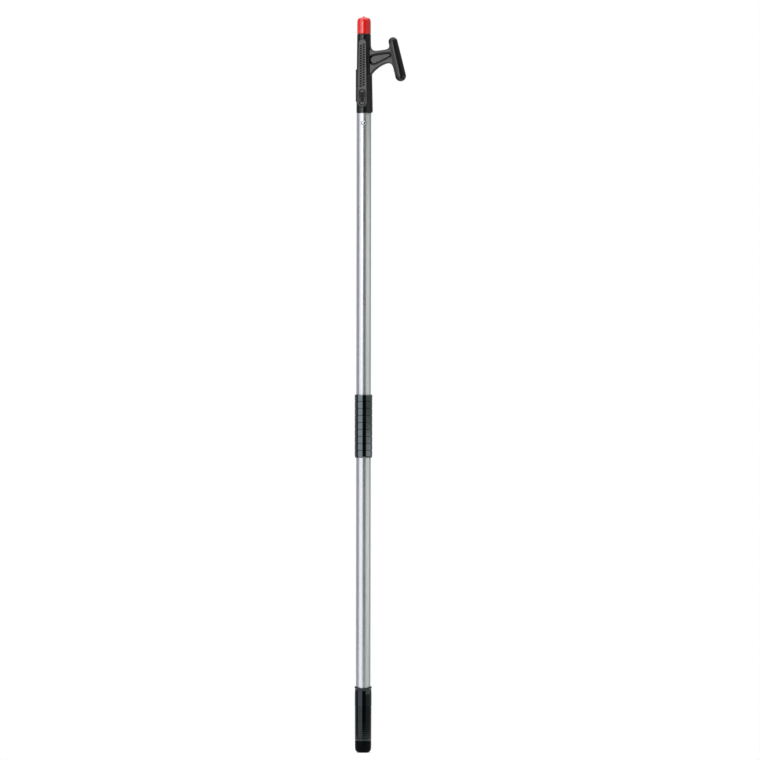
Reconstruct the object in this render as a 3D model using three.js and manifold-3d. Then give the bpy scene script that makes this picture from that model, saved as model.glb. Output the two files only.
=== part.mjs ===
// Telescoping boat hook: an aluminium inner tube with a moulded hook head slides in an aluminium
// outer tube, and domed snap buttons on V springs lock it stowed or drawn out.
// Millimetres. The pole's axis is Z, the butt of the end grip stands on Z = 0, and the hook points to +X.
import * as THREE from "three";
import { mergeVertices } from "three/addons/utils/BufferGeometryUtils.js";
import Module from "manifold-3d";

const wasm = await Module();
wasm.setup();

// ---- driving dimensions ----
const ROUND = 40; // facets round a tube
const FIT = 0.15; // radial gap of a pressed or glued fit
const OUTER_R = 12.7; // outer tube, 1 inch across
const OUTER_BORE_R = 11.5;
const OUTER_BOTTOM = 7.6;
const OUTER_TOP = 1120;
const INNER_R = 11.1; // inner tube, 7/8 inch across
const INNER_BORE_R = 10;
const INNER_BOTTOM = 52;
const SOCKET_DEPTH = 72; // how far the inner tube enters the hook head
const HEAD_Z = OUTER_TOP + 0.3; // the head's lower rim rests on the outer tube when stowed
const INNER_TOP = HEAD_Z + SOCKET_DEPTH - 0.4;
const BUTTON_TURN = THREE.MathUtils.degToRad(-77); // direction of both buttons, from +X round Z
const UPPER_BUTTON_Z = 1102.8;
const LOWER_BUTTON_Z = 140;
const BUTTON_R = 4.4;
const BUTTON_HOLE_R = 4.85;
const BUTTON_PRESS = 4.7; // travel from standing proud to clear of the outer tube's bore
const BUTTON_TOP = 16; // dome top, from the pole's axis
const LEG_FACE = 7.4; // outer face of the spring leg under a released button
const STRIP_THICK = 0.8;
const STRIP_WIDE = 8;
const MID_GRIP_BOTTOM = 516.3;
const MID_GRIP_TOP = 627.3;
const MID_GRIP_R = 15.4;
const MID_GROOVE_PITCH = 12.26;
const MID_GROOVES = 8;
const END_GRIP_TOP = 116.4;
const RIVET_HEIGHTS = { lower: 32, upper: 62 }; // above the head's lower rim
const HALF_WEB = 7; // half the thickness of the arm between shaft and crossbar
const RECESS_DEPTH = 4.2;

// ---- finishes ----
const finish = (color, roughness, metalness) => () =>
  new THREE.MeshStandardMaterial({ color, roughness, metalness });
const aluminium = finish(0xc9ced2, 0.3, 1);
const steel = finish(0xb9bcc0, 0.25, 1);
const springSteel = finish(0x8e9296, 0.35, 1);
const nylon = finish(0x2b2c2e, 0.55, 0);
const vinylRed = finish(0xd3201f, 0.35, 0);
const vinylBlack = finish(0x15181a, 0.4, 0);
const polyethylene = finish(0xe8e6df, 0.5, 0);
const foam = finish(0xf1efe6, 0.9, 0);
const acetal = finish(0xf4f4f0, 0.35, 0);
const nitrile = finish(0x101010, 0.6, 0);

// ---- shape helpers ----

// A geometry as a manifold solid with its faces pointing out.
function solid(geometry) {
  const bare = geometry.clone();
  bare.deleteAttribute("normal");
  bare.deleteAttribute("uv");
  const merged = mergeVertices(bare, 1e-4);
  const vertProperties = new Float32Array(merged.attributes.position.array);
  const triVerts = new Uint32Array(merged.index.array);
  const made = new wasm.Manifold(new wasm.Mesh({ numProp: 3, vertProperties, triVerts }));
  if (made.volume() > 0) return made;
  for (let i = 0; i < triVerts.length; i += 3)
    [triVerts[i + 1], triVerts[i + 2]] = [triVerts[i + 2], triVerts[i + 1]];
  return new wasm.Manifold(new wasm.Mesh({ numProp: 3, vertProperties, triVerts }));
}

function surface(manifold) {
  const mesh = manifold.getMesh();
  const geometry = new THREE.BufferGeometry();
  geometry.setAttribute("position", new THREE.BufferAttribute(new Float32Array(mesh.vertProperties), 3));
  geometry.setIndex(new THREE.BufferAttribute(new Uint32Array(mesh.triVerts), 1));
  geometry.computeVertexNormals();
  return geometry;
}

// A solid of revolution about Z. The profile is [radius, height] pairs, and closed joins its ends.
function turned(profile, { facets = ROUND, closed = true } = {}) {
  const points = profile.map(([r, z]) => new THREE.Vector2(r, z));
  if (THREE.ShapeUtils.area(points) < 0) points.reverse();
  if (closed) points.push(points[0].clone());
  return new THREE.LatheGeometry(points, facets).rotateX(Math.PI / 2);
}

// A solid of revolution about the radial axis of a button or rivet: X is the distance from the pole's axis.
const turnedAboutX = (profile, options) => turned(profile, options).rotateY(Math.PI / 2);

// An outline in the XZ plane, extruded to both sides of it.
function slab(shape, halfThickness, curveSegments = 8) {
  const geometry = new THREE.ExtrudeGeometry(shape, {
    depth: 2 * halfThickness,
    bevelEnabled: false,
    curveSegments,
  });
  return geometry.translate(0, 0, -halfThickness).rotateX(Math.PI / 2);
}

const outline = (points) => new THREE.Shape(points.map(([x, z]) => new THREE.Vector2(x, z)));

// A drill along +X that starts at X = from and ends at X = to.
const drill = (radius, from, to, facets = 24) =>
  turnedAboutX([[0, from], [radius, from], [radius, to], [0, to]], { facets, closed: false });

function drillAt(radius, from, to, height, turn = 0) {
  return solid(drill(radius, from, to).rotateZ(turn).translate(0, 0, height));
}

function piece(name, geometry, material, z = 0, turn = 0) {
  const mesh = new THREE.Mesh(geometry, material());
  mesh.name = name;
  mesh.position.z = z;
  mesh.rotation.z = turn;
  return mesh;
}

// ---- outer pole ----

function outerTube() {
  const bevel = 0.4;
  const tube = solid(turned([
    [OUTER_BORE_R, OUTER_BOTTOM],
    [OUTER_R, OUTER_BOTTOM],
    [OUTER_R, OUTER_TOP - bevel],
    [OUTER_R - bevel, OUTER_TOP],
    [OUTER_BORE_R + bevel, OUTER_TOP],
    [OUTER_BORE_R, OUTER_TOP - bevel],
  ]));
  const hole = drillAt(BUTTON_HOLE_R, 8, OUTER_R + 2, UPPER_BUTTON_Z, BUTTON_TURN);
  return surface(tube.subtract(hole));
}

// A soft sleeve with rounded ends, ringed by shallow grooves.
function midGrip() {
  const bore = OUTER_R + FIT;
  const grooveDepth = 0.8;
  const grooveHalf = 0.7;
  const firstGroove = MID_GRIP_TOP - 12.1;
  const outside = [[MID_GRIP_R - 1.2, MID_GRIP_TOP], [MID_GRIP_R - 0.2, MID_GRIP_TOP - 1.5]];
  for (let i = 0; i < MID_GROOVES; i++) {
    const z = firstGroove - i * MID_GROOVE_PITCH;
    const r = i < MID_GROOVES - 1 ? MID_GRIP_R : MID_GRIP_R - 0.25;
    outside.push([r, z + grooveHalf], [r - grooveDepth, z], [r, z - grooveHalf]);
  }
  outside.push([MID_GRIP_R - 0.6, MID_GRIP_BOTTOM + 3], [MID_GRIP_R - 1.8, MID_GRIP_BOTTOM]);
  return turned([[bore, MID_GRIP_BOTTOM], [bore, MID_GRIP_TOP], ...outside]);
}

// A closed sleeve over the tube's lower end, with a flared lip, a neck below it and a chamfered butt.
function endGrip() {
  const bore = OUTER_R + FIT;
  return turned([
    [0, 0],
    [8, 0],
    [10.8, 1.1],
    [12.9, 3.3],
    [13.9, 6.4],
    [14.1, 20],
    [14.5, 104],
    [14.1, 110.5],
    [15.1, 113.6],
    [14.6, END_GRIP_TOP],
    [bore, END_GRIP_TOP],
    [bore, 5],
    [0, 5],
  ], { closed: false });
}

// A flanged plug that seals the outer tube's lower end.
function endPlug() {
  const body = OUTER_BORE_R - FIT;
  return turned([
    [0, 5.2],
    [OUTER_R - 0.2, 5.2],
    [OUTER_R - 0.2, 7.4],
    [body, 7.4],
    [body, 35],
    [body - 1.2, 38],
    [body - 3, 38],
    [body - 3, 10],
    [0, 10],
  ], { closed: false, facets: 32 });
}

// ---- inner pole ----

function innerTube() {
  let tube = solid(turned([
    [INNER_BORE_R, INNER_BOTTOM],
    [INNER_R, INNER_BOTTOM],
    [INNER_R, INNER_TOP],
    [INNER_BORE_R, INNER_TOP],
  ]));
  for (const z of [UPPER_BUTTON_Z, LOWER_BUTTON_Z])
    tube = tube.subtract(drillAt(BUTTON_HOLE_R, 8, OUTER_R, z, BUTTON_TURN));
  for (const height of Object.values(RIVET_HEIGHTS))
    tube = tube.subtract(drillAt(1.8, -OUTER_R, -8, HEAD_Z + height));
  return surface(tube);
}

// The crossbar is a slightly conical round bar with domed ends, leaning out at its lower end.
function crossbar() {
  const length = 79.06;
  const lowR = 9.55;
  const highR = 8;
  const lean = THREE.MathUtils.degToRad(12.9);
  const lowDome = 8.6;
  const highDome = 6.8;
  const steps = 5;
  const profile = [];
  for (let i = 0; i <= steps; i++) {
    const a = (i / steps) * (Math.PI / 2);
    profile.push([lowR * Math.sin(a), lowDome * (1 - Math.cos(a))]);
  }
  for (let i = 0; i <= steps; i++) {
    const a = (i / steps) * (Math.PI / 2);
    profile.push([highR * Math.cos(a), length - highDome * (1 - Math.sin(a))]);
  }
  profile[0][0] = 0;
  profile[profile.length - 1][0] = 0;
  return turned(profile, { closed: false, facets: 28 }).rotateY(-lean).translate(68.05, 0, 55.6);
}

// The arm's outline: a nearly level top edge and a long concave gusset below, filleted at both ends.
function armOutline() {
  const shape = new THREE.Shape();
  shape.moveTo(6, 61);
  shape.splineThru([
    [10.2, 64.5], [12.8, 66.8], [14.8, 69.4], [18.6, 73.5], [23.8, 78], [29.8, 82.1], [36.4, 85.4],
    [42.4, 87], [46.9, 86.9], [50.7, 85], [53.2, 81], [54.9, 75.8], [56.7, 70.6], [58.9, 66.6],
  ].map(([x, z]) => new THREE.Vector2(x, z)));
  shape.lineTo(63, 72);
  shape.lineTo(54, 122);
  shape.lineTo(48.6, 122.4);
  shape.splineThru([
    [47.1, 117.2], [44.9, 113.6], [40.4, 111.3], [28.3, 109.5], [19.8, 109.2], [15, 110.7],
    [12.4, 113.7], [11.1, 117.6], [10.2, 122], [9.4, 127],
  ].map(([x, z]) => new THREE.Vector2(x, z)));
  shape.lineTo(6, 127);
  shape.closePath();
  return shape;
}

// The recess in each side of the arm: a large round end by the shaft, tapering to a blunt tip.
function recessOutline() {
  const shape = new THREE.Shape();
  const centre = [19.6, 93.4];
  const bigR = 9.3;
  shape.absarc(...centre, bigR, THREE.MathUtils.degToRad(100), THREE.MathUtils.degToRad(294), false);
  shape.lineTo(46.2, 96.2);
  shape.quadraticCurveTo(50, 98.2, 50.2, 101.2);
  shape.quadraticCurveTo(49.8, 103.8, 46.2, 106.5);
  shape.lineTo(34, 106);
  shape.closePath();
  return shape;
}

// A raised flat panel with round ends, wider at its lower end, on the front or back of the shaft.
function panel(side) {
  const low = { z: 18.9, r: 8.5, face: 13.9 };
  const high = { z: 122.6, r: 6.6, face: 12.7 };
  const shape = new THREE.Shape();
  shape.absarc(0, low.z, low.r, Math.PI, 0, false);
  shape.absarc(0, high.z, high.r, 0, Math.PI, false);
  shape.closePath();
  const geometry = slab(shape, 1, 10);
  const position = geometry.attributes.position;
  const slope = (high.face - low.face) / (high.z - low.z);
  for (let i = 0; i < position.count; i++) {
    const outer = position.getY(i) > 0;
    const face = low.face + slope * (position.getZ(i) - low.z);
    position.setY(i, outer ? face : 5);
  }
  return side > 0 ? geometry : geometry.rotateZ(Math.PI);
}

// One moulding: socketed shaft with a nose post, side panels, a rib, a rivet strip, the arm and the crossbar.
function hookHead() {
  const bore = INNER_R + FIT;
  const shaft = turned([
    [0, SOCKET_DEPTH],
    [bore, SOCKET_DEPTH],
    [bore, 0],
    [12.6, 0],
    [13.1, 0.6],
    [13.1, 20],
    [12.75, 72],
    [12, 138.6],
    [10.2, 138.6],
    [10.2, 157],
    [9.6, 160.6],
    [7.2, 163.2],
    [0, 164.4],
  ], { closed: false });
  const rib = slab(outline([[8, 0.8], [14.4, 0.8], [14.9, 2.4], [13.8, 66], [8, 66]]), 5);
  const strip = slab(outline([[-13, 19.9], [-8, 19.9], [-8, 76.5], [-13.4, 76.5], [-13.8, 75.6], [-14, 22]]), 4);
  let head = solid(shaft);
  for (const addition of [rib, strip, panel(1), panel(-1), slab(armOutline(), HALF_WEB, 3), crossbar()])
    head = head.add(solid(addition));
  for (const side of [1, -1]) {
    const floor = HALF_WEB - RECESS_DEPTH;
    const cutter = slab(recessOutline(), 10, 6).translate(0, side * (floor + 10), 0);
    head = head.subtract(solid(cutter));
  }
  const socket = turned([[0, -1], [bore, -1], [bore, SOCKET_DEPTH], [0, SOCKET_DEPTH]], { closed: false });
  head = head.subtract(solid(socket));
  for (const height of Object.values(RIVET_HEIGHTS)) {
    head = head.subtract(drillAt(1.8, -14, -9, height));
    head = head.subtract(drillAt(3.4, -15, -12.9, height));
  }
  return surface(head);
}

// A dip-moulded cup with a small drip nib on its crown.
function tipCap() {
  const bore = 10.2 + FIT;
  const base = 138.8;
  return turned([
    [bore, base],
    [11.6, base],
    [11.95, base + 0.8],
    [12, base + 14],
    [11.8, base + 21.8],
    [11.3, base + 24.8],
    [10, base + 26.9],
    [7.4, base + 28.2],
    [4, base + 28.9],
    [2.2, base + 29.6],
    [1.3, base + 30.6],
    [0, base + 31],
    [0, base + 27],
    [7.3, base + 25.9],
    [9.8, base + 22.4],
    [bore, base + 18.4],
    [bore, base],
  ], { closed: false });
}

// A blind rivet through the strip, the head's wall and the inner tube's wall, along X.
const headRivet = () =>
  turnedAboutX([
    [0, -13.8], [1.8, -13.7], [3.1, -13.2], [1.5, -13.15], [1.5, -9.3], [2.3, -9.1], [2.3, -7.4], [0, -7],
  ], { closed: false, facets: 16 });

// A flanged plug in the inner tube's lower end that runs in the outer tube's bore.
function glideBushing() {
  const body = INNER_BORE_R - FIT;
  const rim = 11.3;
  return turned([
    [6, INNER_BOTTOM - 10],
    [rim - 0.6, INNER_BOTTOM - 10],
    [rim, INNER_BOTTOM - 9.2],
    [rim, INNER_BOTTOM - 6.6],
    [9.7, INNER_BOTTOM - 6.6],
    [9.7, INNER_BOTTOM - 4.4],
    [rim, INNER_BOTTOM - 4.4],
    [rim, INNER_BOTTOM - 0.2],
    [body, INNER_BOTTOM - 0.2],
    [body, INNER_BOTTOM + 16],
    [6, INNER_BOTTOM + 16],
  ]);
}

// A rubber ring in the bushing's groove, which takes up the play between the tubes.
function glideRing() {
  const middle = INNER_BOTTOM - 5.5;
  return turned([[9.85, middle - 0.8], [11, middle - 0.9], [11.4, middle], [11, middle + 0.9], [9.85, middle + 0.8]]);
}

const floatPlug = (bottom) =>
  turned([[0, bottom], [INNER_BORE_R - FIT, bottom], [INNER_BORE_R - FIT, bottom + 28], [0, bottom + 28]],
    { closed: false, facets: 32 });

// ---- snap buttons ----

// X is the distance from the pole's axis: a riveted tail, a flange behind the tube's wall and a domed pin.
function snapButton() {
  const domeStart = BUTTON_TOP - 1.8;
  return turnedAboutX([
    [0, LEG_FACE - 2],
    [2.9, LEG_FACE - 1.8],
    [2.9, LEG_FACE - STRIP_THICK - 0.3],
    [1.7, LEG_FACE - STRIP_THICK - 0.3],
    [1.7, LEG_FACE + 0.3],
    [5, LEG_FACE + 0.3],
    [5, LEG_FACE + 1],
    [BUTTON_R, LEG_FACE + 1],
    [BUTTON_R, domeStart],
    [3.9, domeStart + 0.6],
    [2.6, domeStart + 1.4],
    [1.2, domeStart + 1.73],
    [0, BUTTON_TOP],
  ], { closed: false, facets: 28 });
}

// A strip folded into a V, drawn in its side view: the line down the middle of the metal, thickened.
function clipSpring(pressed) {
  const legMiddle = LEG_FACE - STRIP_THICK / 2 - pressed;
  const bendR = 2.6;
  const bendZ = -44;
  const middle = [[legMiddle, 7], [legMiddle, -8]];
  for (let i = 0; i <= 6; i++) {
    const a = (-i / 6) * Math.PI;
    middle.push([bendR * Math.cos(a), bendZ + bendR * Math.sin(a)]);
  }
  middle.push([-8.5, -6], [-8.5, 4], [-7.6, 7]);
  const points = middle.map(([r, z]) => new THREE.Vector2(r, z));
  const edge = (side) => points.map((p, i) => {
    const before = points[Math.max(i - 1, 0)];
    const after = points[Math.min(i + 1, points.length - 1)];
    const along = after.clone().sub(before).normalize();
    return new THREE.Vector2(-along.y, along.x).multiplyScalar((side * STRIP_THICK) / 2).add(p);
  });
  const shape = new THREE.Shape([...edge(1), ...edge(-1).reverse()]);
  const strip = solid(slab(shape, STRIP_WIDE / 2));
  const tailHole = solid(drill(2.3, legMiddle - 2, legMiddle + 2, 20));
  return surface(strip.subtract(tailHole));
}

// ---- the assembly ----
const boatHook = new THREE.Group();
boatHook.add(
  piece("outer_tube", outerTube(), aluminium),
  piece("mid_grip", midGrip(), vinylBlack),
  piece("end_grip", endGrip(), vinylBlack),
  piece("end_plug", endPlug(), polyethylene),
  piece("inner_tube", innerTube(), aluminium),
  piece("hook_head", hookHead(), nylon, HEAD_Z),
  piece("tip_cap", tipCap(), vinylRed, HEAD_Z),
  piece("head_rivet_lower", headRivet(), aluminium, HEAD_Z + RIVET_HEIGHTS.lower),
  piece("head_rivet_upper", headRivet(), aluminium, HEAD_Z + RIVET_HEIGHTS.upper),
  piece("glide_bushing", glideBushing(), acetal),
  piece("glide_ring", glideRing(), nitrile),
  piece("upper_float_plug", floatPlug(1022), foam),
  piece("lower_float_plug", floatPlug(152), foam),
);

// The upper button stands proud through both tubes. The lower one is held in by the outer tube's bore.
const buttons = [
  { name: "upper", z: UPPER_BUTTON_Z, pressed: 0 },
  { name: "lower", z: LOWER_BUTTON_Z, pressed: BUTTON_PRESS + 0.1 },
];
for (const { name, z, pressed } of buttons) {
  boatHook.add(
    piece(`${name}_snap_button`, snapButton().translate(-pressed, 0, 0), steel, z, BUTTON_TURN),
    piece(`${name}_clip_spring`, clipSpring(pressed), springSteel, z, BUTTON_TURN),
  );
}

export default boatHook;
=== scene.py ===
import math

import bmesh
import bpy
import numpy as np
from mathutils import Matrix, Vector


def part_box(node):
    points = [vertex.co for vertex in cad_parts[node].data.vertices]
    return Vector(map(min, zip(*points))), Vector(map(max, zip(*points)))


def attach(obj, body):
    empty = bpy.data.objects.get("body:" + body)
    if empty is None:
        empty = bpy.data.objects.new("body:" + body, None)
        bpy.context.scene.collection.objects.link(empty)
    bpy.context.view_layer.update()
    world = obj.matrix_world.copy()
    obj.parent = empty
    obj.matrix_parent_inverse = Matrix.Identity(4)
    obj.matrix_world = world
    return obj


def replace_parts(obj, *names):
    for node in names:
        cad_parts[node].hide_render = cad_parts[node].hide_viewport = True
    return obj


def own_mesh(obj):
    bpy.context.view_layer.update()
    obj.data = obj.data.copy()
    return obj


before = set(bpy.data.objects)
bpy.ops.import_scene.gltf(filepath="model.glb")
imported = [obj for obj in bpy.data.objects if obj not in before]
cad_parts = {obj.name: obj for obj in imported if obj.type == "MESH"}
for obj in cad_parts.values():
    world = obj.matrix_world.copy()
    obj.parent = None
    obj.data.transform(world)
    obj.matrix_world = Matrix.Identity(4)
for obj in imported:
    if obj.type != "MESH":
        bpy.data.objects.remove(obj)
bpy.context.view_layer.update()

MM = 0.001
# The camera stands this far round from square on to the hook's flat side, towards +X.
VIEW_AZIMUTH = math.radians(13)
# Both snap buttons point this way, which is straight at the camera.
BUTTON_TURN = math.radians(-77)
BUTTON_HOLE_R, RIVET_HOLE_R = 4.85, 1.8
OUTER_R, OUTER_BORE_R = 12.7, 11.5
INNER_R, INNER_BORE_R = 11.1, 10.0
GRIP_BORE_R = OUTER_R + 0.05


def box_mm(node):
    """(lowest corner, highest corner) of a CAD node, in millimetres."""
    low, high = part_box(node)
    return low / MM, high / MM


def middle_z(node):
    low, high = box_mm(node)
    return (low.z + high.z) / 2


HEAD_Z = box_mm("hook_head")[0].z
UPPER_BUTTON_Z = middle_z("upper_snap_button")
LOWER_BUTTON_Z = middle_z("lower_snap_button")
RIVET_Z = {"lower": middle_z("head_rivet_lower"), "upper": middle_z("head_rivet_upper")}


# ---- materials ----


class Shader:
    """A Principled material with helpers for procedural detail, placed by the object's own coordinates."""

    def __init__(self, name, base, roughness, **values):
        self.material = bpy.data.materials.new(name)
        self.material.use_nodes = True
        self.tree = self.material.node_tree
        self.bsdf = self.tree.nodes["Principled BSDF"]
        self.bsdf.inputs["Base Color"].default_value = (*base, 1)
        self.bsdf.inputs["Roughness"].default_value = roughness
        for key, value in values.items():
            self.bsdf.inputs[key.replace("_", " ")].default_value = value
        self.coords = self.tree.nodes.new("ShaderNodeTexCoord").outputs["Object"]

    def link(self, value, socket):
        """A socket's value, from another socket or as a number."""
        if isinstance(value, bpy.types.NodeSocket):
            self.tree.links.new(value, socket)
        else:
            socket.default_value = value

    def math(self, operation, *values):
        node = self.tree.nodes.new("ShaderNodeMath")
        node.operation = operation
        for value, socket in zip(values, node.inputs):
            self.link(value, socket)
        return node.outputs[0]

    def noise(self, scale, detail=2.0, roughness=0.5):
        """Noise whose cells per metre are scale, one number or one for each axis."""
        cells = (scale,) * 3 if isinstance(scale, (int, float)) else scale
        stretch = self.tree.nodes.new("ShaderNodeMapping")
        stretch.inputs["Scale"].default_value = cells
        self.tree.links.new(self.coords, stretch.inputs["Vector"])
        node = self.tree.nodes.new("ShaderNodeTexNoise")
        node.inputs["Scale"].default_value = 1.0
        node.inputs["Detail"].default_value = detail
        node.inputs["Roughness"].default_value = roughness
        self.tree.links.new(stretch.outputs[0], node.inputs["Vector"])
        return node.outputs["Fac"]

    def spread(self, value, low, high, out_low, out_high):
        """value from low..high to out_low..out_high, clamped."""
        node = self.tree.nodes.new("ShaderNodeMapRange")
        for number, socket in zip((value, low, high, out_low, out_high), node.inputs):
            self.link(number, socket)
        return node.outputs[0]

    def axis(self, which):
        node = self.tree.nodes.new("ShaderNodeSeparateXYZ")
        self.tree.links.new(self.coords, node.inputs[0])
        return node.outputs[which]

    def attribute(self, name):
        node = self.tree.nodes.new("ShaderNodeAttribute")
        node.attribute_name = name
        return node.outputs["Fac"]

    def blend(self, factor, a, b):
        """Colour a where factor is 0 and b where it is 1."""
        node = self.tree.nodes.new("ShaderNodeMix")
        node.data_type = "RGBA"
        self.link(factor, node.inputs[0])
        self.link((*a, 1) if isinstance(a, tuple) else a, node.inputs[6])
        self.link((*b, 1) if isinstance(b, tuple) else b, node.inputs[7])
        return node.outputs[2]

    def base(self, socket):
        self.tree.links.new(socket, self.bsdf.inputs["Base Color"])

    def rough(self, socket):
        self.tree.links.new(socket, self.bsdf.inputs["Roughness"])

    def bump(self, *layers):
        """Each layer is (height, depth in metres). They are stacked into one normal."""
        normal = None
        for height, depth in layers:
            node = self.tree.nodes.new("ShaderNodeBump")
            node.inputs["Strength"].default_value = 1.0
            node.inputs["Distance"].default_value = depth
            self.tree.links.new(height, node.inputs["Height"])
            if normal is not None:
                self.tree.links.new(normal, node.inputs["Normal"])
            normal = node.outputs[0]
        self.tree.links.new(normal, self.bsdf.inputs["Normal"])


def anodised(name, tone):
    """Drawn tube: fine lengthwise lines under a clear anodised film, with faint handling marks."""
    s = Shader(name, tone, 0.3, Metallic=0.76)
    lines = s.noise((1500, 1500, 5), 3)
    hair = s.noise((5200, 5200, 16), 1)
    marks = s.noise((38, 38, 14), 4, 0.62)
    s.base(s.blend(s.spread(marks, 0.3, 0.7, 0, 1), tuple(0.94 * c for c in tone), tone))
    worn = s.spread(marks, 0.35, 0.75, 0.0, 0.07)
    s.rough(s.math("ADD", s.spread(lines, 0.25, 0.75, 0.23, 0.32), worn))
    s.bump((lines, 0.000006), (hair, 0.000002))
    return s.material


def black_vinyl(name, tone, dull, ior):
    """Soft PVC: a faint orange peel, and dusty patches that are paler and duller."""
    s = Shader(name, tone, dull, IOR=ior, Specular_Tint=(0.82, 0.97, 1.0, 1))
    peel = s.noise(620, 3)
    dust = s.noise((70, 70, 26), 5, 0.6)
    dusty = tuple(2 * c + 0.0012 for c in tone)
    s.base(s.blend(s.spread(dust, 0.45, 0.8, 0, 1), tone, dusty))
    patches = s.spread(dust, 0.3, 0.75, dull - 0.02, dull + 0.04)
    s.rough(s.math("ADD", patches, s.spread(peel, 0.3, 0.7, 0, 0.02)))
    s.bump((peel, 0.000006), (s.noise(2600, 1), 0.0000015))
    return s.material


def black_nylon():
    """Glass-filled nylon: a fine spark-eroded grain, flow marks, a parting line, and painted shade that
    darkens the engraving.
    """
    s = Shader("black_nylon", (0.006, 0.0062, 0.0066), 0.3, IOR=1.46)
    grain = s.noise(1500, 2)
    flow = s.noise((60, 60, 16), 4, 0.6)
    fibre = s.noise((2600, 2600, 500), 1)
    engraving_shade = s.attribute("engraving_shade")
    tone = s.blend(s.spread(flow, 0.3, 0.7, 0, 1), (0.005, 0.0051, 0.0055), (0.0075, 0.0077, 0.0081))
    flecked = s.blend(s.spread(fibre, 0.66, 0.8, 0, 0.35), tone, (0.03, 0.03, 0.03))
    # Painted shade: the engraving's hollows are coloured near black to stand for the shade that falls in
    # them.
    s.base(s.blend(engraving_shade, flecked, (0.0015, 0.0015, 0.0016)))
    rough = s.math("ADD", s.spread(flow, 0.3, 0.7, 0.24, 0.3), s.spread(grain, 0.3, 0.7, 0, 0.04))
    s.rough(s.math("ADD", rough, s.spread(engraving_shade, 0, 1, 0, 0.3)))
    parting_line = s.spread(s.math("ABSOLUTE", s.axis("Y")), 0.0, 0.00035, 1, 0)
    s.bump((grain, 0.000009), (parting_line, 0.00008), (fibre, 0.000003))
    return s.material


def red_vinyl():
    """Dip-moulded vinyl: a wet-looking skin with slow runs down it and a few dull rubs."""
    s = Shader("red_vinyl", (0.8, 0.012, 0.011), 0.25, IOR=1.62, Coat_Weight=0.3, Coat_Roughness=0.16)
    runs = s.noise((240, 240, 60), 2)
    rubs = s.noise((150, 150, 90), 5, 0.65)
    s.base(s.blend(s.spread(runs, 0.3, 0.7, 0, 1), (0.76, 0.01, 0.009), (0.84, 0.013, 0.011)))
    s.rough(s.spread(rubs, 0.35, 0.8, 0.22, 0.27))
    s.bump((runs, 0.000008), (s.noise(1800, 2), 0.0000005))
    return s.material


def bright_metal(name, tone, dull):
    """Tumbled stainless or aluminium: close fine scratches and a soft dulling."""
    s = Shader(name, tone, dull, Metallic=1.0)
    scratch = s.noise((3800, 900, 2400), 2)
    stain = s.noise(420, 3)
    s.base(s.blend(s.spread(stain, 0.4, 0.8, 0, 1), tone, tuple(0.8 * c for c in tone)))
    scratched = s.spread(scratch, 0.3, 0.7, dull - 0.05, dull + 0.06)
    s.rough(s.math("ADD", scratched, s.spread(stain, 0.4, 0.8, 0, 0.1)))
    s.bump((scratch, 0.000006))
    return s.material


def plain_moulding(name, tone, dull, cells, depth):
    """Moulded or foamed plastic with its own grain or cell size."""
    s = Shader(name, tone, dull)
    grain = s.noise(cells, 3)
    cloud = s.noise(cells / 12, 3)
    s.base(s.blend(s.spread(cloud, 0.3, 0.7, 0, 1), tuple(0.9 * c for c in tone), tone))
    s.rough(s.spread(grain, 0.3, 0.7, dull - 0.06, dull + 0.08))
    s.bump((grain, depth))
    return s.material


ALUMINIUM = anodised("anodised_aluminium", (0.61, 0.625, 0.635))
GRIP_VINYL = black_vinyl("grip_vinyl", (0.0012, 0.0014, 0.0016), 0.08, 2.25)
END_VINYL = black_vinyl("end_grip_vinyl", (0.0012, 0.0014, 0.0018), 0.08, 1.5)
BUTT_VINYL = black_vinyl("butt_vinyl", (0.0007, 0.0008, 0.001), 0.3, 1.13)
NYLON = black_nylon()
RED_VINYL = red_vinyl()
STEEL = bright_metal("button_steel", (0.64, 0.65, 0.66), 0.22)
SPRING_STEEL = bright_metal("spring_steel", (0.45, 0.46, 0.47), 0.3)
RIVET_METAL = bright_metal("rivet_aluminium", (0.7, 0.71, 0.72), 0.32)
PLUG_PLASTIC = plain_moulding("plug_polyethylene", (0.78, 0.77, 0.73), 0.5, 900, 0.00003)
ACETAL = plain_moulding("bushing_acetal", (0.82, 0.82, 0.79), 0.35, 700, 0.00002)
NITRILE = plain_moulding("ring_nitrile", (0.012, 0.012, 0.012), 0.6, 1400, 0.00002)
FOAM = plain_moulding("plug_foam", (0.85, 0.84, 0.78), 0.9, 1300, 0.0003)


# ---- outlines and solids ----


def flowing(points, steps=6):
    """A Catmull-Rom curve through the points, as a list of points."""
    p = [np.array(q, float) for q in points]
    p = [2 * p[0] - p[1], *p, 2 * p[-1] - p[-2]]
    out = []
    for a, b, c, d in zip(p, p[1:], p[2:], p[3:]):
        second = 2 * a - 5 * b + 4 * c - d
        third = 3 * b - a - 3 * c + d
        for i in range(steps):
            t = i / steps
            out.append(0.5 * (2 * b + (c - a) * t + second * t**2 + third * t**3))
    out.append(p[-2])
    return [tuple(q) for q in out]


def eased(points, steps=5, closed=True):
    """The outline with its corners rounded. A third number on a point is that corner's size."""
    out = []
    count = len(points)
    for i, point in enumerate(points):
        if len(point) < 3 or (not closed and i in (0, count - 1)):
            out.append(tuple(point[:2]))
            continue
        here = np.array(point[:2])
        to_last = np.array(points[i - 1][:2]) - here
        to_next = np.array(points[(i + 1) % count][:2]) - here
        start = here + to_last * min(point[2] / np.linalg.norm(to_last), 0.49)
        end = here + to_next * min(point[2] / np.linalg.norm(to_next), 0.49)
        for k in range(steps + 1):
            t = k / steps
            out.append(tuple((1 - t) ** 2 * start + 2 * t * (1 - t) * here + t**2 * end))
    return out


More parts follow.
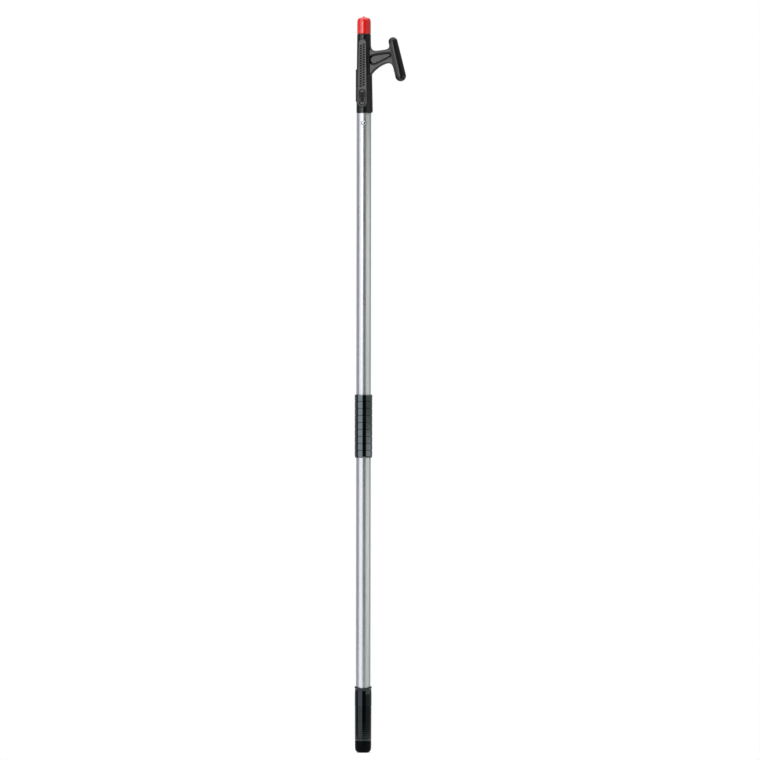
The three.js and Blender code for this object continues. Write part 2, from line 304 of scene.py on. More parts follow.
def revolve(outline, segments=128):
    """A solid of revolution about Z, as vertices and faces, from an outline of (radius, height).

    The outline is closed, or starts and ends on the axis."""
    vertices, rings, faces = [], [], []
    for r, z in outline:
        if r < 1e-6:
            rings.append([len(vertices)])
            vertices.append((0.0, 0.0, z))
            continue
        rings.append(range(len(vertices), len(vertices) + segments))
        turns = (2 * math.pi * k / segments for k in range(segments))
        vertices.extend((r * math.cos(a), r * math.sin(a), z) for a in turns)
    pairs = list(zip(rings, rings[1:]))
    if outline[0][0] > 1e-6:
        pairs.append((rings[-1], rings[0]))
    for low, high in pairs:
        for k in range(segments):
            n = (k + 1) % segments
            ring = (low[k % len(low)], low[n % len(low)], high[n % len(high)], high[k % len(high)])
            face = list(dict.fromkeys(ring))
            if len(face) > 2:
                faces.append(face)
    return np.array(vertices), faces


def pointing_out(solid, turn, z):
    """The solid laid to point out from the pole's axis at bearing turn and height z.

    Its own Z becomes the distance from that axis."""
    vertices, faces = solid
    across, up, out = vertices.T
    x = out * math.cos(turn) - across * math.sin(turn)
    y = out * math.sin(turn) + across * math.cos(turn)
    return np.column_stack((x, y, up + z)), faces


def drill(radius, start, end, turn, z):
    """A cutter for a round hole, from start to end away from the pole's axis."""
    return pointing_out(revolve([(0, start), (radius, start), (radius, end), (0, end)], 48), turn, z)


# ---- pieces ----


def make_object(name, vertices, faces, sharp=35):
    """A mesh object from a shape in millimetres, smooth except at edges steeper than sharp degrees."""
    mesh = bpy.data.meshes.new(name)
    mesh.from_pydata([tuple(v) for v in np.asarray(vertices) * MM], [], [tuple(f) for f in faces])
    shell = bmesh.new()
    shell.from_mesh(mesh)
    bmesh.ops.recalc_face_normals(shell, faces=shell.faces)
    shell.to_mesh(mesh)
    shell.free()
    mesh.shade_smooth()
    mesh.set_sharp_from_angle(angle=math.radians(sharp))
    obj = bpy.data.objects.new(name, mesh)
    bpy.context.scene.collection.objects.link(obj)
    return obj


def bore(obj, cutters, sharp):
    """Takes the cutters away from the object for good."""
    tools = []
    for i, (vertices, faces) in enumerate(cutters):
        tool = make_object(f"cutter_{i}", vertices, faces)
        cut = obj.modifiers.new(f"cut_{i}", "BOOLEAN")
        cut.operation = "DIFFERENCE"
        cut.solver = "EXACT"
        cut.object = tool
        tools.append(tool)
    bpy.context.view_layer.update()
    done = bpy.data.meshes.new_from_object(obj.evaluated_get(bpy.context.evaluated_depsgraph_get()))
    obj.modifiers.clear()
    old = obj.data
    obj.data = done
    done.name = obj.name
    bpy.data.meshes.remove(old)
    for tool in tools:
        bpy.data.objects.remove(tool)
    done.shade_smooth()
    done.set_sharp_from_angle(angle=math.radians(sharp))


def add_piece(name, solid, material, body, nodes, sharp=35, cutters=()):
    """A finished piece in place of CAD nodes. Cutters are solids taken away from it."""
    obj = make_object(name, *solid, sharp)
    if cutters:
        bore(obj, cutters, sharp)
    obj.data.materials.append(material)
    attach(obj, body)
    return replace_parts(obj, *nodes)


# ---- the two tubes, with rings close to each button's hole to keep the wall round beside it ----

low, high = box_mm("outer_tube")
outer_outline = eased([
    (OUTER_BORE_R, low.z),
    (OUTER_R, low.z),
    *[(OUTER_R, z) for z in (120, 320, 500, 640, 800, 960)],
    *[(OUTER_R, UPPER_BUTTON_Z + d) for d in (-12, -6, 6, 12)],
    (OUTER_R, high.z, 0.6),
    (OUTER_BORE_R, high.z, 0.5),
    (OUTER_BORE_R, UPPER_BUTTON_Z + 6),
    (OUTER_BORE_R, UPPER_BUTTON_Z - 6),
])
add_piece(
    "outer_tube_skin",
    revolve(outer_outline, 160),
    ALUMINIUM,
    "outer_pole",
    ["outer_tube"],
    cutters=[drill(BUTTON_HOLE_R, 8, 14, BUTTON_TURN, UPPER_BUTTON_Z)],
)

low, high = box_mm("inner_tube")
inner_outline = [
    (INNER_BORE_R, low.z),
    (INNER_R, low.z),
    *[(INNER_R, z) for z in (LOWER_BUTTON_Z - 6, LOWER_BUTTON_Z + 6, 300, 500, 700, 900)],
    *[(INNER_R, UPPER_BUTTON_Z + d) for d in (-6, 6)],
    (INNER_R, high.z),
    (INNER_BORE_R, high.z),
]
button_holes = [drill(BUTTON_HOLE_R, 8, 12.5, BUTTON_TURN, z) for z in (UPPER_BUTTON_Z, LOWER_BUTTON_Z)]
rivet_holes = [drill(RIVET_HOLE_R, 8, 12.5, math.pi, z) for z in RIVET_Z.values()]
add_piece(
    "inner_tube_skin",
    revolve(inner_outline, 144),
    ALUMINIUM,
    "inner_pole",
    ["inner_tube"],
    cutters=button_holes + rivet_holes,
)


# ---- the two grips ----

GROOVE_HALF_WIDTH, GROOVE_FOOT = 0.48, 0.06


def groove(middle, radius, depth):
    """The outline across one sharp groove, from its lower lip to its upper one."""
    return [
        (radius, middle - GROOVE_HALF_WIDTH),
        (radius - depth, middle - GROOVE_FOOT),
        (radius - depth, middle + GROOVE_FOOT),
        (radius, middle + GROOVE_HALF_WIDTH),
    ]


# The mid grip: a sleeve with rounded ends and narrow grooves at one pitch.
low, high = box_mm("mid_grip")
MID_R, MID_GROOVES, MID_PITCH, MID_DEPTH = 15.4, 8, 12.26, 1.3
top_groove = high.z - 12.1
lowest_groove = top_groove - (MID_GROOVES - 1) * MID_PITCH
mid_outline = [
    (GRIP_BORE_R, low.z + 0.3),
    *flowing([
        (13.3, low.z),
        (14.3, low.z + 0.5),
        (14.8, low.z + 1.6),
        (15.14, low.z + 2.9),
        (15.3, low.z + 6),
        (15.38, lowest_groove - 1.5),
    ], 4),
]
for k in range(MID_GROOVES):
    mid_outline += groove(lowest_groove + k * MID_PITCH, MID_R, MID_DEPTH)
mid_outline += [
    *flowing([
        (MID_R, high.z - 3),
        (MID_R, high.z - 1.6),
        (15.25, high.z - 0.6),
        (14.8, high.z - 0.1),
        (14.2, high.z),
    ], 4),
    (13.2, high.z),
    (GRIP_BORE_R, high.z - 0.3),
]
add_piece("mid_grip_sleeve", revolve(mid_outline, 144), GRIP_VINYL, "outer_pole", ["mid_grip"])

# The end grip: a plain closed end, fine ribs that swell a little upwards, a smooth collar and a flared lip.
END_R, COLLAR_R = 14.45, 14.68
RIB_GROOVES, RIB_PITCH, LOWEST_RIB, RIB_DEPTH, RIB_SWELL = 15, 3.9, 25.7, 1.1, 0.015
BUTT_TOP, GRIP_FLOOR = 20.5, 5
end_outline = [
    (0, 0),
    *eased([
        (7.6, 0),
        (8.2, 0, 0.5),
        (10.9, 1.1, 1.4),
        (13.1, 3.3, 1.4),
        (14.25, 6.8, 2),
        (END_R, 20.2, 0.4),
        (14.1, 20.9, 0.3),
        (14.42, 21.6, 0.3),
        (END_R, 23.5),
    ], closed=False),
]
for k in range(RIB_GROOVES):
    end_outline += groove(LOWEST_RIB + k * RIB_PITCH, END_R + RIB_SWELL * k, RIB_DEPTH)
end_outline += [
    *[(COLLAR_R, z) for z in np.arange(84, 104, 1.5)],
    *flowing([
        (14.62, 104.4),
        (14.52, 107),
        (14.3, 109.6),
        (14.22, 111.3),
        (14.6, 112.8),
        (15.02, 113.9),
        (15.12, 114.9),
        (14.9, 115.8),
        (14.4, 116.3),
        (13.7, 116.4),
        (13.1, 116.1),
    ], 4),
    (GRIP_BORE_R, 115.4),
    (GRIP_BORE_R, GRIP_FLOOR),
    (0, GRIP_FLOOR),
]
end_vertices, end_faces = revolve(end_outline, 160)
# The lip dips this far at the camera's side and at the far side, starting from a height up the collar.
LIP_DIP, DIP_START, DIP_HEIGHT = 3.0, 98, 13
bearing = np.arctan2(end_vertices[:, 1], end_vertices[:, 0]) - BUTTON_TURN
rise = np.clip((end_vertices[:, 2] - DIP_START) / DIP_HEIGHT, 0, 1)
end_vertices[:, 2] -= LIP_DIP / 2 * (1 + np.cos(2 * bearing)) * rise**2 * (3 - 2 * rise)
sleeve = add_piece(
    "end_grip_sleeve",
    (end_vertices, end_faces),
    END_VINYL,
    "outer_pole",
    ["end_grip"],
)
# The closed end is a duller vinyl than the ribbed length.
sleeve.data.materials.append(BUTT_VINYL)
for face in sleeve.data.polygons:
    face.material_index = 1 if face.center.z < BUTT_TOP * MM else 0


# ---- the tip cap: a thick dipped skin with a rolled rim, a soft shoulder and a drip nib ----

cap_base = box_mm("tip_cap")[0].z
CAP_R, CAP_TOP = 12, 31
cap_outline = [
    *flowing([
        (10.5, 0.15),
        (11.1, 0),
        (11.6, 0.25),
        (11.9, 0.9),
        (CAP_R, 2.2),
        (11.96, 8),
        (11.97, 15),
        (11.9, 20),
        (11.62, 23.2),
        (10.9, 25.6),
        (9.6, 27.1),
        (7.4, 28.1),
        (5, 28.6),
        (3.2, 29.05),
        (2, 29.7),
        (1.25, 30.5),
        (0.6, 30.95),
    ], 5),
    (0, CAP_TOP),
    (0, 27.4),
    (8.6, 25.9),
    (10.3, 22),
    (10.35, 1),
]
cap_vertices, cap_faces = revolve([(r, z + cap_base) for r, z in cap_outline], 128)
# The dipped skin draws in a little in slow waves round it and up it, below the shoulder.
WAVE_DEPTH, WAVE_MM_PER_RADIAN, SHOULDER_Z = 0.06, 5.5, 26
bearing = np.arctan2(cap_vertices[:, 1], cap_vertices[:, 0])
rise = cap_vertices[:, 2] - cap_base
wave = WAVE_DEPTH * np.sin(3 * bearing + 0.5) * np.sin(rise / WAVE_MM_PER_RADIAN) * (rise < SHOULDER_Z)
cap_vertices[:, :2] *= (1 - np.abs(wave) / CAP_R)[:, None]
add_piece(
    "tip_cap_skin",
    (cap_vertices, cap_faces),
    RED_VINYL,
    "inner_pole",
    ["tip_cap"],
    sharp=60,
)


# ---- the hook head: one moulding with soft edges, made as a distance field and meshed ----
# Heights in this section are above the head's own lower rim.

SHAFT_HEIGHTS, SHAFT_RADII = (0, 20, 72, 138.6), (13.1, 13.1, 12.75, 12.0)
SHAFT_TOP = 138.5
SOCKET_R, SOCKET_DEPTH = 11.25, 72
POST_R, POST_FOOT, POST_TOP = 10.15, 130, 164.2
PANEL_LOW, PANEL_LOW_R = (0, 19.4), 9.2
PANEL_HIGH, PANEL_HIGH_R = (0, 122.2), 7.4
ENGRAVING_DEPTH = 0.85
DIMPLE_R, DIMPLE_PITCH, LOWEST_DIMPLE, LAST_DIMPLE = 1.2, 4.4, 47, 16
OVAL_LOW, OVAL_HIGH = (0, 19.4), (0, 36)
ARM_HALF = 7
BAR_LOW, BAR_LOW_R = (65.93, 64.87), 9.5
BAR_HIGH, BAR_HIGH_R = (52.18, 124.93), 7.95
RIB_HALF, RIB_EDGE, RIB_LEAN, RIB_FOOT, RIB_HEAD = 5, 15.6, 0.021, 0.6, 68
LEDGE_HALF, LEDGE_EDGE, LEDGE_FOOT, LEDGE_HEAD = 4, -14, 19.9, 76.5
RIVET_SEAT_R, RIVET_SEAT_X = 3.4, -12.85

# The arm's outline and the recess in each of its sides, as (x, height). The arm runs into shaft and bar.
ARM = [
    (6, 61),
    *flowing([
        (10.2, 64.5),
        (12.8, 66.8),
        (14.8, 69.4),
        (18.6, 73.5),
        (23.8, 78),
        (29.8, 82.1),
        (36.4, 85.4),
        (42.4, 87),
        (46.9, 86.9),
        (50.7, 85),
        (53.2, 81),
        (54.9, 75.8),
        (56.7, 70.6),
        (58.9, 66.6),
    ], 4),
    (63, 72),
    (54, 122),
    *flowing([
        (48.6, 122.4),
        (47.1, 117.2),
        (44.9, 113.6),
        (40.4, 111.3),
        (28.3, 109.5),
        (19.8, 109.2),
        (15, 110.7),
        (12.4, 113.7),
        (11.1, 117.6),
        (10.2, 122),
        (9.4, 127),
    ], 4),
    (6, 127),
]
RECESS = flowing([
    (19.6, 102.9),
    (14.6, 101.3),
    (11.2, 97.4),
    (10.2, 93),
    (11.5, 88.3),
    (15, 85),
    (19.4, 84.1),
    (23.6, 85.2),
    (34, 90.2),
    (46, 96),
    (49.4, 98.3),
    (50.5, 101.3),
    (49.4, 104.4),
    (45.6, 106.4),
    (34, 105.4),
    (25, 104.1),
    (19.6, 102.9),
], 3)[:-1]


def soft_max(a, b, k):
    """The larger distance, with the corner between the two rounded over about k."""
    h = np.clip(0.5 + 0.5 * (a - b) / k, 0, 1)
    return b + (a - b) * h + k * h * (1 - h)


def soft_min(a, b, k):
    return -soft_max(-a, -b, k)


def outline_distance(points, x, z):
    """Signed distance to a closed outline in the XZ plane, negative inside."""
    nearest = np.full(np.broadcast(x, z).shape, 1e9)
    inside = np.zeros(nearest.shape, bool)
    for (x0, z0), (x1, z1) in zip(points, points[1:] + points[:1]):
        ex, ez = x1 - x0, z1 - z0
        t = np.clip(((x - x0) * ex + (z - z0) * ez) / (ex * ex + ez * ez), 0, 1)
        nearest = np.minimum(nearest, (x - x0 - t * ex) ** 2 + (z - z0 - t * ez) ** 2)
        if abs(ez) > 1e-9:
            inside ^= ((z0 > z) != (z1 > z)) & (x < x0 + (z - z0) * ex / ez)
    return np.where(inside, -1, 1) * np.sqrt(nearest)


def capsule(x, z, low_end, high_end, low_r, high_r, y=0.0):
    """Distance to a round bar, or in the plane to a stadium, whose radius changes along it."""
    along = np.subtract(high_end, low_end)
    t = np.clip(((x - low_end[0]) * along[0] + (z - low_end[1]) * along[1]) / float(along @ along), 0, 1)
    across = (x - low_end[0] - t * along[0]) ** 2 + (z - low_end[1] - t * along[1]) ** 2 + y * y
    return np.sqrt(across) - low_r - (high_r - low_r) * t


def panel_face(z):
    """How far a panel's face is from the head's middle plane. It leans in as it rises."""
    return 13.9 - 1.2 * (z - 18.9) / 103.7


def engraving(x, z):
    """Distance in a panel's plane to its plain pattern: staggered dimples above a slotted oval."""
    pattern = np.full(np.broadcast(x, z).shape, 9.0)
    for centre, shift in ((-2.6, 0), (2.6, 0.5)):
        row = np.clip(np.round((z - LOWEST_DIMPLE) / DIMPLE_PITCH - shift), 0, LAST_DIMPLE)
        above = z - LOWEST_DIMPLE - (row + shift) * DIMPLE_PITCH
        pattern = np.minimum(pattern, np.hypot((x - centre) * 0.72, above) - DIMPLE_R)
    for centre in (-2.2, 0, 2.2):
        pattern = np.minimum(pattern, capsule(x, z, (centre, 19.5), (centre, 36), 0.5, 0.5))
    rim = np.abs(capsule(x, z, OVAL_LOW, OVAL_HIGH, 5.4, 5.2)) - 0.35
    return np.minimum(rim, pattern)


def shaft_and_panels(rho, thick, x, z):
    """The tapered shaft with a raised, engraved panel front and back."""
    taper = np.interp(z, SHAFT_HEIGHTS, SHAFT_RADII)
    shaft = soft_max(rho - taper, np.maximum(-z, z - SHAFT_TOP), 1.2)
    outline = capsule(x, z, PANEL_LOW, PANEL_HIGH, PANEL_LOW_R, PANEL_HIGH_R)
    panels = soft_max(outline, thick - panel_face(z), 1.3)
    cut = np.maximum(engraving(x, z), panel_face(z) - ENGRAVING_DEPTH - thick)
    return soft_max(soft_min(shaft, panels, 0.7), -cut, 0.35)


def hook_side_rib(thick, x, z):
    """The thick rounded edge down the shaft below the arm. It leans in as it rises."""
    sides = soft_max(thick - RIB_HALF, x - (RIB_EDGE - RIB_LEAN * z), 3.2)
    ends = soft_max(RIB_FOOT - z, z - RIB_HEAD, 3.0)
    return soft_max(sides, np.maximum(8 - x, ends), 3.0)


def rivet_strip(thick, x, z):
    """The thin ledge down the shaft on the side away from the hook."""
    sides = soft_max(thick - LEDGE_HALF, LEDGE_EDGE - x, 0.9)
    ends = soft_max(LEDGE_FOOT - z, z - LEDGE_HEAD, 0.5)
    return soft_max(sides, np.maximum(x + 8, ends), 0.8)


def arm_and_bar(thick, x, y, z):
    """The arm with a recess in each side, deepest in a moat along its wall, and the crossbar."""
    plate = soft_max(outline_distance(ARM, x, z), thick - ARM_HALF, 1.6)
    in_recess = outline_distance(RECESS, x, z)
    floor_half = 3.7 - 1.7 * np.clip((in_recess + 3) / 1.2, 0, 1)
    hollow = soft_max(in_recess + 0.06 * (ARM_HALF - thick), floor_half - thick, 0.6)
    arm = soft_max(plate, -hollow, 0.5)
    bar = capsule(x, z, BAR_LOW, BAR_HIGH, BAR_LOW_R, BAR_HIGH_R, y)
    return soft_min(arm, bar, 2.4)


def head_distance(x, y, z):
    """Signed distance to the whole hook head."""
    rho = np.hypot(x, y)
    thick = np.abs(y)
    body = soft_min(shaft_and_panels(rho, thick, x, z), hook_side_rib(thick, x, z), 2.4)
    body = soft_min(body, rivet_strip(thick, x, z), 0.8)
    body = soft_min(body, arm_and_bar(thick, x, y, z), 2.0)
    # The lower rim is cut flat, so that no soft edge reaches below it into the outer tube.
    body = np.maximum(body, -z)
    post = np.maximum(soft_max(rho - POST_R, z - POST_TOP, 5), POST_FOOT - z)
    body = np.minimum(body, post)
    for height in RIVET_Z.values():
        away = np.hypot(y, z - (height - HEAD_Z))
        body = np.maximum(body, -np.maximum(away - RIVET_SEAT_R, x - RIVET_SEAT_X))
        body = np.maximum(body, -np.maximum(away - RIVET_HOLE_R, x + 9))
    return soft_max(body, -np.maximum(rho - SOCKET_R, z - SOCKET_DEPTH), 0.4)


def mesh_field(distance, low, high, step):
    """A closed quad mesh of distance = 0, its points moved onto the surface along the field's slope."""
    axes = [np.arange(a, b + step, step) for a, b in zip(low, high)]
    values = distance(axes[0][:, None, None], axes[1][None, :, None], axes[2][None, None, :])
    inside = values < 0
    nx, ny, nz = inside.shape
    count = sum(
        inside[i : nx - 1 + i, j : ny - 1 + j, k : nz - 1 + k].astype(np.int8)
        for i in (0, 1)
        for j in (0, 1)
        for k in (0, 1)
    )
    # One point in each cell that the surface crosses, at the mean of its edges' crossings.
    mixed = (count > 0) & (count < 8)
    number = np.full(mixed.shape, -1)
    number[mixed] = np.arange(mixed.sum())
    cells = np.argwhere(mixed)
    units = np.eye(3, dtype=int)
    total, hits = np.zeros((len(cells), 3)), np.zeros(len(cells))
    for axis in range(3):
        u, v = [units[a] for a in range(3) if a != axis]
        for corner in (0 * u, v, u, u + v):
            a = values[tuple((cells + corner).T)]
            b = values[tuple((cells + corner + units[axis]).T)]
            crossed = (a < 0) != (b < 0)
            t = a[crossed] / (a[crossed] - b[crossed])
            total[crossed] += corner + t[:, None] * units[axis]
            hits[crossed] += 1
    points = np.array(low) + step * (cells + total / hits[:, None])
    # One face round each grid edge that the surface crosses.
    faces = []
    for axis in range(3):
        u, v = [units[a] for a in range(3) if a != axis]
        ahead = np.take(inside, range(1, inside.shape[axis]), axis)
        behind = np.take(inside, range(inside.shape[axis] - 1), axis)
        edges = np.argwhere(ahead != behind)
        faces.append(np.stack([number[tuple((edges - s).T)] for s in (0 * u, u, u + v, v)], 1))
    e = 0.02
    for _ in range(3):
        x, y, z = points.T
        slope = np.column_stack([
            distance(x + e, y, z) - distance(x - e, y, z),
            distance(x, y + e, z) - distance(x, y - e, z),
            distance(x, y, z + e) - distance(x, y, z - e),
        ]) / (2 * e)
        size = np.maximum((slope**2).sum(1), 0.25)
        move = -(distance(x, y, z) / size)[:, None] * slope
        points = points + np.clip(move, -0.3 * step, 0.3 * step)
    return points, np.concatenate(faces)


GRID_LOW, GRID_HIGH, GRID_STEP = (-15, -15, -1.2), (78, 15, 166), 0.6
head_points, head_faces = mesh_field(head_distance, GRID_LOW, GRID_HIGH, GRID_STEP)
head = add_piece(
    "hook_head_moulding",
    (head_points + np.array([0, 0, HEAD_Z]), head_faces),
    NYLON,
    "inner_pole",
    ["hook_head"],
    sharp=180,
)

# How far each point is into the engraving, for the painted shade that darkens the nylon's colour there.
head_x, head_thick, head_rise = head_points[:, 0], np.abs(head_points[:, 1]), head_points[:, 2]
engraving_shade = np.clip(0.5 - engraving(head_x, head_rise) / 0.3, 0, 1)
engraving_shade *= (head_thick > 9) & (head_thick < panel_face(head_rise) - 0.12)
engraving_shade *= np.abs(head_x) < 8
layer = head.data.attributes.new("engraving_shade", "FLOAT", "POINT")
layer.data.foreach_set("value", engraving_shade.astype(np.float32))


# ---- buttons, springs and rivets ----

# From the pole's axis to the outside of a spring's front leg, the middle of its back leg and a button's top.
STRIP_OUT, STRIP_BACK, BUTTON_TOP = 7.4, 8.5, 16.0
STRIP_THICK, STRIP_WIDE, BEND_R, BEND_Z = 0.8, 8, 2.6, -44
PIN_R, DOME_HEIGHT, FLANGE_R, TAIL_R, TAIL_HOLE_R = 4.4, 2.6, 5, 1.7, 2.3


def button_outline(pressed):
    """A riveted tail inside the strip, a flange outside it and a domed pin, at pressed from proud."""
    face = STRIP_OUT - pressed
    top = BUTTON_TOP - pressed
    turns = np.linspace(0.12, 1.5, 12)
    dome = [(PIN_R * math.cos(a), top - DOME_HEIGHT * (1 - math.sin(a))) for a in turns]
    return [
        (0, face - 2),
        *eased([(2, face - 2), (2.9, face - 1.6, 0.3), (2.9, face - 1.1)], closed=False),
        (TAIL_R, face - 1.1),
        (TAIL_R, face + 0.3),
        *eased([
            (4.6, face + 0.3),
            (FLANGE_R, face + 0.3, 0.2),
            (FLANGE_R, face + 1.0, 0.2),
            (PIN_R, face + 1.0),
        ], closed=False),
        (PIN_R, top - DOME_HEIGHT),
        *dome,
        (0, top),
    ]


def strip_solid(middle, turn, z):
    """A flat strip bent along its side view's middle line, as (distance from the pole's axis, height)."""
    p = np.array(middle)
    along = np.gradient(p, axis=0)
    normal = np.column_stack((-along[:, 1], along[:, 0])) / np.linalg.norm(along, axis=1)[:, None]
    edges = (p + normal * STRIP_THICK / 2, p - normal * STRIP_THICK / 2)
    vertices = []
    for out, up in np.stack(edges, 1).reshape(-1, 2):
        for side in (-STRIP_WIDE / 2, STRIP_WIDE / 2):
            x = out * math.cos(turn) - side * math.sin(turn)
            y = out * math.sin(turn) + side * math.cos(turn)
            vertices.append((x, y, up + z))
    faces = []
    for i in range(len(p) - 1):
        a, b = 4 * i, 4 * i + 4
        faces += [(a, a + 1, b + 1, b), (a + 2, b + 2, b + 3, a + 3)]
        faces += [(a, b, b + 2, a + 2), (a + 1, a + 3, b + 3, b + 1)]
    last = 4 * (len(p) - 1)
    faces += [(0, 2, 3, 1), (last, last + 1, last + 3, last + 2)]
    return np.array(vertices), faces


def clip_middle(pressed):
    """The V spring's middle line: a leg behind the button, a round bend and a leg on the far wall."""
    leg = STRIP_OUT - STRIP_THICK / 2 - pressed
    bend_turns = np.linspace(0.1, math.pi - 0.1, 12)
    return [
        *[(leg, height) for height in (7, 2, -3, -8)],
        ((leg + BEND_R) / 2, -26),
        *[(BEND_R * math.cos(a), BEND_Z - BEND_R * math.sin(a)) for a in bend_turns],
        (-5.5, -25),
        (-STRIP_BACK, -6),
        (-STRIP_BACK, 4),
        (-7.6, 7),
    ]


# (name, height, how far in it rests, how much further its joint presses it)
BUTTONS = (("upper", UPPER_BUTTON_Z, 0.0, 4.7), ("lower", LOWER_BUTTON_Z, 4.8, 2.0))
for name, z, pressed, travel in BUTTONS:
    add_piece(
        f"{name}_button_pin",
        pointing_out(revolve(button_outline(pressed), 64), BUTTON_TURN, z),
        STEEL,
        f"{name}_button",
        [f"{name}_snap_button"],
    )
    spring = add_piece(
        f"{name}_clip_strip",
        strip_solid(clip_middle(pressed), BUTTON_TURN, z),
        SPRING_STEEL,
        "inner_pole",
        [f"{name}_clip_spring"],
        cutters=[drill(TAIL_HOLE_R, 5 - pressed, 9 - pressed, BUTTON_TURN, z)],
    )
    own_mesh(spring)

# A rivet's outline, as (radius, distance from the pole's axis): domed head, shank and formed tail.
rivet_outline = [
    (0, 13.8),
    *flowing([(0.6, 13.79), (1.6, 13.72), (2.5, 13.55), (3, 13.3), (3.1, 13.1)], 3),
    (2.9, 12.95),
    (1.5, 12.95),
    (1.5, 9.4),
    (2.2, 9.2),
    (2.3, 7.6),
    (1.2, 7.1),
    (0, 7),
]
for name, z in RIVET_Z.items():
    rivet = pointing_out(revolve(rivet_outline, 40), math.pi, z)
    add_piece(f"{name}_rivet_body", rivet, RIVET_METAL, "inner_pole", [f"head_rivet_{name}"])

# Parts out of sight keep their CAD shape.
for node, material in (
    ("end_plug", PLUG_PLASTIC),
    ("glide_bushing", ACETAL),
    ("glide_ring", NITRILE),
    ("upper_float_plug", FOAM),
    ("lower_float_plug", FOAM),
):
    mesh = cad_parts[node].data
    mesh.materials.clear()
    mesh.materials.append(material)


# ---- the floor ----

FLOOR_R, FLOOR_TOP, FLOOR_THICK, FLOOR_GLOW = 700, -0.05, 0.2, 0.3


def pale_paint():
    """Matt and slightly luminous, so that the floor is as white as the backdrop."""
    s = Shader("pale_floor", (0.93, 0.93, 0.93), 0.7)
    s.bsdf.inputs["Emission Color"].default_value = (1, 1, 1, 1)
    s.bsdf.inputs["Emission Strength"].default_value = FLOOR_GLOW
    s.rough(s.spread(s.noise(40, 3), 0.3, 0.7, 0.62, 0.78))
    return s.material


floor_bottom = FLOOR_TOP - FLOOR_THICK
floor_outline = [(0, FLOOR_TOP), (FLOOR_R, FLOOR_TOP), (FLOOR_R, floor_bottom), (0, floor_bottom)]
floor = make_object("floor", *revolve(floor_outline, 96))
floor.data.materials.append(pale_paint())


# ---- light ----

toward_camera = Vector((math.sin(VIEW_AZIMUTH), -math.cos(VIEW_AZIMUTH), 0))
to_the_right = Vector((math.cos(VIEW_AZIMUTH), math.sin(VIEW_AZIMUTH), 0))

WORLD_STRENGTH = 1.75
OVERHEAD_AND_BELOW = (0.12, 0.12, 0.12, 1)
COOL, LILAC, GREEN = (0.88, 0.945, 1.0), (0.95, 0.95, 1.0), (0.9, 1.0, 0.96)
# The light round the horizon: (degrees from the camera, positive to its right; brightness; tint).
HORIZON = [
    (-180, 0.22, COOL),
    (-128, 0.26, COOL),
    (-112, 0.24, COOL),
    (-97, 0.08, COOL),
    (-79, 0.1, COOL),
    (-72, 0.9, LILAC),
    (-18, 0.9, LILAC),
    (-10, 0.005, COOL),
    (30, 0.005, GREEN),
    (40, 0.18, GREEN),
    (90, 0.19, GREEN),
    (115, 0.22, GREEN),
    (180, 0.22, COOL),
]


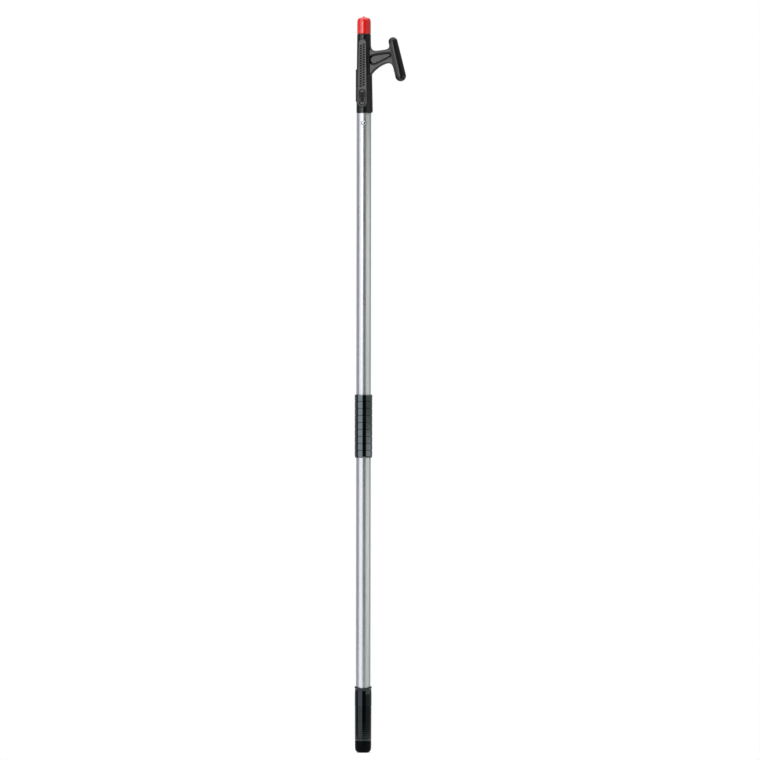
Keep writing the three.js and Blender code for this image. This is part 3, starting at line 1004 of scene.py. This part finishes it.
def studio_world():
    """White behind the object, and round it a wide bright box on the camera's left and a dim glow.

    The dark gap behind the camera gives the dark line down the middle of the tubes and grips."""
    world = bpy.data.worlds.new("studio")
    bpy.context.scene.world = world
    world.use_nodes = True
    tree = world.node_tree
    tree.nodes.clear()

    def node(kind, **settings):
        made = tree.nodes.new(kind)
        for key, value in settings.items():
            setattr(made, key, value)
        return made

    direction = node("ShaderNodeTexCoord").outputs["Generated"]

    def part_along(axis):
        dot = node("ShaderNodeVectorMath", operation="DOT_PRODUCT")
        tree.links.new(direction, dot.inputs[0])
        dot.inputs[1].default_value = axis
        return dot.outputs["Value"]

    turn = node("ShaderNodeMath", operation="ARCTAN2")
    tree.links.new(part_along(to_the_right), turn.inputs[0])
    tree.links.new(part_along(toward_camera), turn.inputs[1])
    share = node("ShaderNodeMapRange")
    share.inputs["From Min"].default_value = -math.pi
    share.inputs["From Max"].default_value = math.pi
    tree.links.new(turn.outputs[0], share.inputs["Value"])
    ramp = node("ShaderNodeValToRGB")
    tree.links.new(share.outputs[0], ramp.inputs["Fac"])
    elements = ramp.color_ramp.elements
    elements[0].position, elements[1].position = 0.0, 1.0
    for degrees, _, _ in HORIZON[1:-1]:
        elements.new(degrees / 360 + 0.5)
    for element, (_, level, tint) in zip(elements, HORIZON):
        element.color = (*(level * c for c in tint), 1)
    height = node("ShaderNodeMapRange", interpolation_type="SMOOTHSTEP")
    rise = node("ShaderNodeMath", operation="ABSOLUTE")
    tree.links.new(part_along((0, 0, 1)), rise.inputs[0])
    tree.links.new(rise.outputs[0], height.inputs["Value"])
    height.inputs["From Min"].default_value = 0.6
    height.inputs["From Max"].default_value = 0.85
    mix = node("ShaderNodeMix", data_type="RGBA")
    tree.links.new(height.outputs[0], mix.inputs[0])
    tree.links.new(ramp.outputs[0], mix.inputs[6])
    mix.inputs[7].default_value = OVERHEAD_AND_BELOW
    studio = node("ShaderNodeBackground")
    studio.inputs["Strength"].default_value = WORLD_STRENGTH
    tree.links.new(mix.outputs[2], studio.inputs["Color"])
    backdrop = node("ShaderNodeBackground")
    backdrop.inputs["Color"].default_value = (1, 1, 1, 1)
    chosen = node("ShaderNodeMixShader")
    tree.links.new(node("ShaderNodeLightPath").outputs["Is Camera Ray"], chosen.inputs[0])
    tree.links.new(studio.outputs[0], chosen.inputs[1])
    tree.links.new(backdrop.outputs[0], chosen.inputs[2])
    tree.links.new(chosen.outputs[0], node("ShaderNodeOutputWorld").inputs[0])


def around(degrees, distance, z):
    """A place at a bearing from the camera's own, positive to its right, in metres."""
    turn = VIEW_AZIMUTH + math.radians(degrees)
    return Vector((math.sin(turn) * distance, -math.cos(turn) * distance, z))


def softbox(name, place, size, watts, target):
    """A rectangle of light in metres, aimed at the target and out of the camera's sight."""
    lamp = bpy.data.lights.new(name, "AREA")
    lamp.shape = "RECTANGLE"
    lamp.size, lamp.size_y = size
    lamp.energy = watts
    obj = bpy.data.objects.new(name, lamp)
    obj.location = place
    obj.rotation_euler = (Vector(target) - Vector(place)).to_track_quat("-Z", "Y").to_euler()
    obj.visible_camera = False
    bpy.context.scene.collection.objects.link(obj)


studio_world()
softbox("overhead", (0, 0, 3.4), (4, 4), 78, (0, 0, 0))
# The hook head's flat faces mirror the key. The fills light the bare tube above and below the mid grip.
softbox("key", around(-26, 2.6, 1.4), (0.85, 0.9), 10, (0, 0, 1.25))
softbox("upper_fill", around(71, 1.6, 0.9), (2.3, 0.33), 2.7, (0, 0, 0.9))
softbox("lower_fill", around(71, 1.6, 0.35), (2.3, 0.4), 2.8, (0, 0, 0.35))


# ---- the camera: a long lens held level, on a frame whose height at the pole is given in metres ----

DISTANCE, FRAME_HEIGHT, SENSOR = 20.0, 1.3315, 36
AIM_RIGHT, AIM_HEIGHT = 0.0288, 0.6528
# The pole stands a hair off upright in the frame.
ROLL = math.radians(0.075)

aim = to_the_right * AIM_RIGHT + Vector((0, 0, AIM_HEIGHT))
camera_data = bpy.data.cameras.new("camera")
camera_data.sensor_width = SENSOR
camera_data.lens = SENSOR * DISTANCE / FRAME_HEIGHT
camera_data.clip_end = 100
camera = bpy.data.objects.new("camera", camera_data)
camera.location = aim + toward_camera * DISTANCE
camera.rotation_euler = (-toward_camera).to_track_quat("-Z", "Y").to_euler()
camera.rotation_euler.rotate_axis("Z", ROLL)
bpy.context.scene.collection.objects.link(camera)
bpy.context.scene.camera = camera
bpy.context.scene.view_settings.view_transform = "Standard"
